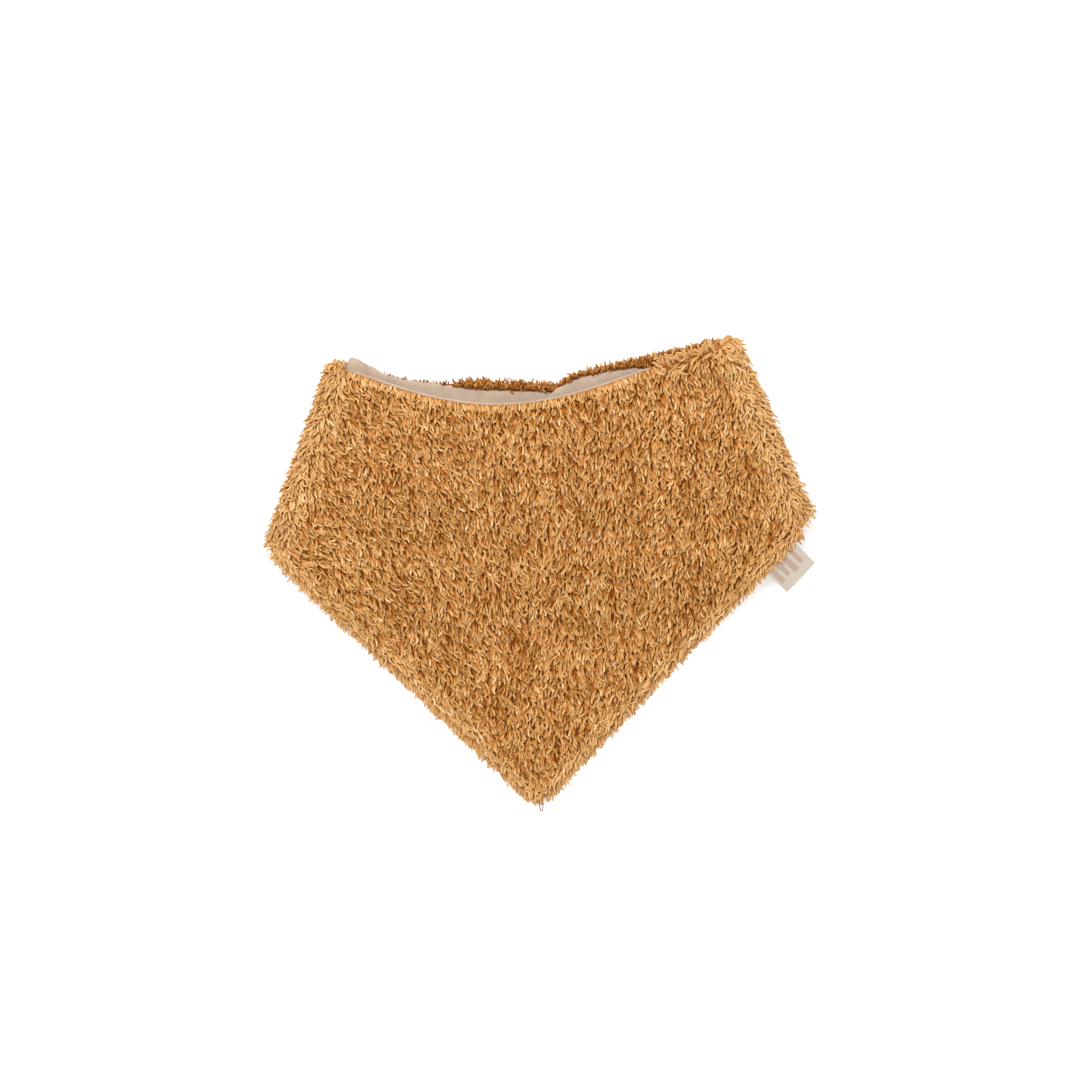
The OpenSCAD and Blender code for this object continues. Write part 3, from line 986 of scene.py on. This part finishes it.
def make_fold(name, side):
    spin = np.random.default_rng(31 + side)
    grid = fold_grid(side, NEUTRAL_R, 17, 60)

    def at_joint(i, j):
        return i in (0, grid.shape[0] - 1)

    def bends(piece):
        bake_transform(piece)

    ground = cloth(name, "ground", bends, grid, CLOTH_GAP, GROUND, FOLD_CLOTH, -side, at_joint)
    lining = cloth(name, "lining", bends, grid, -LINING, 0.0, JERSEY, -side, at_joint)
    rows = int(round(np.pi * FOLD_PILE_R / (PITCH * 0.85)))
    pieces = []
    for strip in range(FOLD_STRIPS):
        def rides(piece):
            rides_part_way(piece)

        tufts = fold_strip(side, strip, rows, spin)
        angles = min(strip, len(FOLD_RISE) - 1)
        # Painted light: the folds' pile is lighter, the right fold more than the left, with paler
        # roots
        pieces += pile_pieces(f"{name}_pile_{strip + 1}", tufts, spin, rides,
                              middle=0.66 + 0.03 * side, pale=0.55, length=FOLD_PILE_L[side],
                              radius=0.44, rise=FOLD_RISE[angles], droop=FOLD_DROOP[angles])
        pieces += pile_pieces(f"{name}_end_pile_{strip + 1}", fold_strip_ends(side, strip, spin),
                              spin, rides, **STYLE["fold end"])
        hairs = only(spin.random(len(tufts[0])) < HAIRS, tufts)
        pieces += pile_pieces(f"{name}_hairs_{strip + 1}", hairs, spin, rides,
                              **STYLE["fold hairs"])


make_fold("left_fold", -1)
make_fold("right_fold", 1)


# ---------------- straps

# Where the terry rolls over the upper edge of a strap: places along X, widths
ROLL = {
    -1: ((-60.0, -38.0, -25.0, 10.0), (0.0, 0.2, 1.8, 2.0)),
    1: ((-5.0, 6.0, 14.0, 30.0, 40.0, 44.0, 48.0, 58.0), (0.0, 0.0, 1.1, 1.5, 2.4, 4.2, 9.0, 11.0)),
}
# How dense and long the pile stands beyond that edge, along X
BEYOND = {
    -1: ((-85.0, -62.0, -58.0, -34.0, -25.0, 10.0), (0.0, 0.0, 0.3, 0.4, 1.0, 1.0)),
    1: ((-20.0, 7.0, 12.0, 90.0), (0.0, 0.0, 1.0, 1.0)),
}
# A puff at the outer strap's upper edge: place and width along X, and how far it moves the cloth
PUFF_AT, PUFF_WIDTH = -72.0, 10.0
PUFF = np.array([1.2, 3.3, 1.2])
# Soft creases across each strap: place along X, width and depth
CREASES = {-1: ((-66.0, 1.5, 2.2), (-57.5, 1.3, 1.9), (-38.0, 3.0, 0.5)), 1: ()}


def strap_edge_pile(name, side, grid, spin, rides):
    """The pile along the upper edge, which shows above the front's neckline: it stands out beyond
    the edge and, where the terry rolls over, covers the border of the lining."""
    upper = grid[:, -1]
    inside = heart_of(grid)
    rows = [fringe(upper, inside, spin, pitch=0.50, low=-1.0, high=0.0, lift=(-0.1, 0.4),
                   spread=0.4),
            fringe(upper, inside, spin, pitch=0.60, low=-0.4, high=0.6, lift=(0.2, 0.8),
                   spread=0.5)]
    tufts = joined(rows)
    share = np.interp(tufts[0][:, 0], *BEYOND[side])
    keep = spin.random(len(share)) < share
    short = keep & (share < 0.6)
    # Painted shade: the pile beyond the edge and its stubs are darkened
    pieces = pile_pieces(f"{name}_edge_pile", only(keep & ~short, tufts), spin, rides,
                         length=UPPER_EDGE_L[side], **STYLE["upper edge"])
    if short.any():
        pieces += pile_pieces(f"{name}_edge_stubs", only(short, tufts), spin, rides,
                              **STYLE["stubs"])
    root, normal = roots_on(grid + UP * 0.2, 0.85, spin, direction=-1)
    far, towards = distance_to(upper[:, :2], root[:, :2])
    rolled = far < np.interp(root[:, 0], *ROLL[side]) - 0.3
    root, normal, towards = only(rolled, (root, normal, towards))
    near_root = between(side * root[:, 0], 46, 54)
    way = towards * (1 - 1.9 * near_root[:, None]) + spin.normal(0, 0.45, towards.shape)
    tufts = root, normal, level(unit(way))
    low = near_root < 0.35
    # Painted shade: the rolled pile is darkened, less so towards the strap's root, whose pile is
    # painted lighter
    pieces += pile_pieces(f"{name}_rolled_pile", only(low, tufts), spin, rides,
                          middle=lerp(0.2, 0.62, near_root[low]), **STYLE["rolled"])
    if not low.all():
        pieces += pile_pieces(f"{name}_root_pile", only(~low, tufts), spin, rides,
                              **STYLE["strap root"])
    return pieces


def drawn_in(grid, side):
    """The lining's own sheet. Where the terry rolls over the upper edge, it ends short of it."""
    upper = grid[:, -1]
    width = np.interp(upper[:, 0], *ROLL[side])
    span = np.linalg.norm(upper - grid[:, 0], axis=1)
    inner = np.linspace(0, 1, grid.shape[1])[None, :] * (1 - width / span)[:, None]
    at = inner * (grid.shape[1] - 1)
    low = np.minimum(at.astype(int), grid.shape[1] - 2)
    rows = np.arange(len(grid))[:, None]
    return lerp(grid[rows, low], grid[rows, low + 1], (at - low)[..., None])


def strap_surface(side):
    """The joint between a strap's terry and lining, with its puff, ripples and creases."""
    grid = strap_grid(side, 70, 16, 44)
    if side < 0:
        weight = np.exp(-((grid[..., 0] - PUFF_AT) / PUFF_WIDTH) ** 2)
        weight = weight * np.linspace(0, 1, grid.shape[1]) ** 3
        grid = grid + weight[..., None] * PUFF
    ripple = 0.22 * waves(grid[..., 0], grid[..., 1], 15, 71 + side)
    for place, wide, deep in CREASES[side]:
        ripple = ripple - deep * np.exp(-(((grid[..., 0] - place) / wide) ** 2))
    grid[..., 2] += ripple * smooth(np.arange(len(grid)) / 8)[:, None]
    return grid


def strap_face_pile(name, side, grid, spin, rides):
    """The pile on the underside. It leans out over the edges and away from the studs."""
    root, normal = roots_on(grid - UP * GROUND, PITCH * 1.2, spin, direction=1)
    base = np.tile([0.05, -1.0, 0.0], (len(root), 1))
    lie = combed(root, base, spin, seed=9 + side)
    beyond = 0.85 * np.interp(root[:, 0], *BEYOND[side])
    for line, strength in ((grid[:, -1, :2], beyond), (grid[:, 0, :2], 0.85)):
        far, towards = distance_to(line, root[:, :2])
        lie = laid(lie, towards, far, 6.0, strength, spin)
    studs = [SNAP_AT]
    if side > 0:
        studs.append(SNAP_AT - heading(STRAP[1]["course"]) * STUD_PITCH)
    for stud in studs:
        away = root[:, :2] - stud - TIP_AT
        far = np.linalg.norm(away, axis=1)
        lie = laid(lie, unit(away), far - RECESS_R, 5.0, 1.0, spin)
        root, normal, lie = only(far > RECESS_R - 0.6, (root, normal, lie))
    return pile_pieces(f"{name}_pile", (root, normal, lie), spin, rides, **STYLE["strap"])


def make_strap(name, side):
    spin = np.random.default_rng(51 + side)
    grid = strap_surface(side)
    inside = heart_of(grid)
    facing = np.sign(grid_normals(grid)[..., 2].mean())
    cover = drawn_in(grid, side)

    def at_fold(i, j):
        return i == 0

    def rides(piece):
        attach(piece, name)

    lining = cloth(name, "lining", rides, cover, 0.0, LINING, JERSEY, facing, at_fold)
    ground = cloth(name, "ground", rides, grid, -GROUND, -CLOTH_GAP, GROUND_CLOTH, facing, at_fold)
    pieces = strap_face_pile(name, side, grid, spin, rides)
    border = np.concatenate([grid[2:, -1], grid[-1, ::-1]])
    rows = [turned_over(border, inside, spin, pitch=0.55, height=0.1 - GROUND, reach=reach)
            for reach in ((0.1, 0.5), (0.7, 1.3))]
    root, normal, lie = joined(rows)
    tufts = root, -normal, lie
    pieces += pile_pieces(f"{name}_border_pile", tufts, spin, rides, **STYLE["border"])
    pieces += strap_edge_pile(name, side, grid, spin, rides)
    low_edge = fringe(grid[:, 0], inside, spin, pitch=0.75, low=-1.1, high=-0.3, lift=(-0.3, -0.02))
    pieces += pile_pieces(f"{name}_low_edge_pile", low_edge, spin, rides, **STYLE["low edge"])
    # Painted shade: the end pile is darkened
    end = fringe(grid[-1, :-6], inside, spin, pitch=0.6, low=-1.2, high=-0.8, lift=(-2.5, -1.2))
    pieces += pile_pieces(f"{name}_end_pile", end, spin, rides, **STYLE["strap end"])
    return cover


OUTER = make_strap("outer_strap", -1)
INNER = make_strap("inner_strap", 1)


# ---------------- rims

def round_strap(cover):
    return np.concatenate([cover[:, 0], cover[-1, 1:-1], cover[::-1, -1]])


def make_rims():
    """The turned edge, where the lining rolls just over the edge of the terry. Where the neckline
    is closed, its rim lies back and down."""
    half = FRONT.shape[0] // 2
    closed = between(FRONT[-1, :, :1], *CLOTH_CLOSES)
    onward = unit(FRONT[-1] - FRONT[-2])
    neck = FRONT[-1] + onward * (0.2 - 0.9 * closed) - UP * (0.1 + 1.7 * closed)
    hem = np.concatenate([FRONT[half:0:-1, 0], FRONT[0, 1:-1:4], FRONT[:half, -1]])
    for name, line, body, seam, radius in (
            ("front_neck_rim", neck, "front", "front_neck_seam", 0.55),
            ("front_hem_rim", hem, "front", "front_hem_seam", 0.6),
            ("outer_strap_rim", round_strap(OUTER), "outer_strap", "outer_strap_seam", 0.6),
            ("inner_strap_rim", round_strap(INNER), "inner_strap", "inner_strap_seam", 0.6)):
        swell = np.linspace(0, 1, len(line))
        taper = np.clip(np.minimum(swell, 1 - swell) * 30, 0.35, 1)
        lumps = 1 + 0.10 * waves(line[:, 0], line[:, 1], 7, 61)
        piece = tube(name, line, radius * taper * lumps, JERSEY, sides=10)
        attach(piece, body)
        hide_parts(seam)


make_rims()


# ---------------- label and fasteners

# The label: width, free length, half the gap between its leaves, their thickness, and the run in
# which it bends over
LABEL_W, LABEL_L, LABEL_GAP, LEAF, BEND = 16.0, 12.0, 0.16, 0.17, 0.3
# It lies this far off its place in the solid model: outwards, and down along the hem
LABEL_OUT, LABEL_DOWN = 0.4, 1.4


def make_label():
    """A folded tape: two leaves with a rounded fold at the free end, slightly cupped."""
    low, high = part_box("side_label")
    out = np.array([*heading(-HEM_ANGLE), 0.0])
    side = np.array([*heading(90 - HEM_ANGLE), 0.0])
    middle = (np.array(low) + np.array(high)) / 2 / MM + out * LABEL_OUT - side * LABEL_DOWN
    run = np.linspace(-LABEL_L / 2, LABEL_L / 2 - BEND, 24)
    belly = np.sin(np.pi * (run / LABEL_L + 0.5))
    turn = np.linspace(0.25, np.pi - 0.25, 7)
    loop = np.concatenate([
        np.stack([run, LABEL_GAP + 0.10 * belly], 1),
        np.stack([LABEL_L / 2 - BEND + BEND * np.sin(turn), LABEL_GAP * np.cos(turn)], 1),
        np.stack([run, -LABEL_GAP - 0.03 * belly], 1)[::-1]])
    across = np.linspace(-LABEL_W / 2, LABEL_W / 2, 33)
    cup = 0.22 * np.cos(across / LABEL_W * np.pi) - 0.1
    grid = np.array([[middle + out * x + side * y + UP * (z + c) for y, c in zip(across, cup)]
                     for x, z in loop])
    piece = shell("side_label_tape", grid, -LEAF / 2, LEAF / 2, TAPE)
    mesh = piece.data
    layer = mesh.uv_layers.new(name="Tape")
    points = np.empty(len(mesh.vertices) * 3, np.float32)
    mesh.vertices.foreach_get("co", points)
    points = points.reshape(-1, 3) / MM - middle
    index = np.empty(len(mesh.loops), np.int32)
    mesh.loops.foreach_get("vertex_index", index)
    uv = np.stack([points @ side / LABEL_W + 0.5, points @ out / LABEL_L + 0.5], 1)[index]
    layer.data.foreach_set("uv", uv.astype(np.float32).ravel())
    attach(piece, "front")
    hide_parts("side_label")


make_label()

for material, carried_over in (
        (PLASTIC, ("socket_cap", "socket", "closing_stud_cap", "closing_stud", "spare_stud_cap",
                   "spare_stud")),
        (FELT, ("outer_strap_interfacing", "inner_strap_interfacing"))):
    for node in carried_over:
        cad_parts[node].data.materials.clear()
        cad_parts[node].data.materials.append(material)


# ---------------- floor, light and camera

def make_stage():
    r = 3.0
    mesh = bpy.data.meshes.new("floor")
    mesh.from_pydata([(-r, -r, 0), (r, -r, 0), (r, r, 0), (-r, r, 0)], [], [(0, 1, 2, 3)])
    look = Look("pale floor", Roughness=0.9, Specular_IOR_Level=0.1, Emission_Color=(1, 1, 1, 1),
                Emission_Strength=0.22)
    mesh.materials.append(look.coloured((0.92, 0.92, 0.92, 1)))
    add_object("floor", mesh)


def area_light(name, place, size, power):
    """A white light that points at the origin: place and size in metres, power in watts."""
    data = bpy.data.lights.new(name, "AREA")
    data.shape = "SQUARE"
    data.size = size
    data.energy = power
    light = add_object(name, data)
    light.location = place
    light.rotation_euler = (-Vector(place)).to_track_quat("-Z", "Y").to_euler()


def make_lights():
    world = bpy.data.worlds.new("studio")
    world.use_nodes = True
    background = world.node_tree.nodes["Background"]
    background.inputs["Color"].default_value = (1, 1, 1, 1)
    background.inputs["Strength"].default_value = 0.74
    bpy.context.scene.world = world
    area_light("key", (-0.35, 0.65, 1.25), 0.8, 18)
    area_light("fill", (0.6, -0.3, 1.4), 1.2, 7)
    bpy.context.scene.view_settings.view_transform = "Standard"


def make_camera():
    """Straight above, with a long lens. It sees this many metres across, and the bib lies turned by
    two degrees, a little below the centre."""
    lens, sensor, across = 150.0, 36.0, 0.4335
    data = bpy.data.cameras.new("camera")
    data.lens = lens
    data.sensor_width = sensor
    data.clip_end = 20
    camera = add_object("camera", data)
    camera.location = (0.0003, 0.0122, across * lens / sensor)
    camera.rotation_euler = (0, 0, math.radians(-2))
    bpy.context.scene.camera = camera


make_stage()
make_lights()
make_camera()
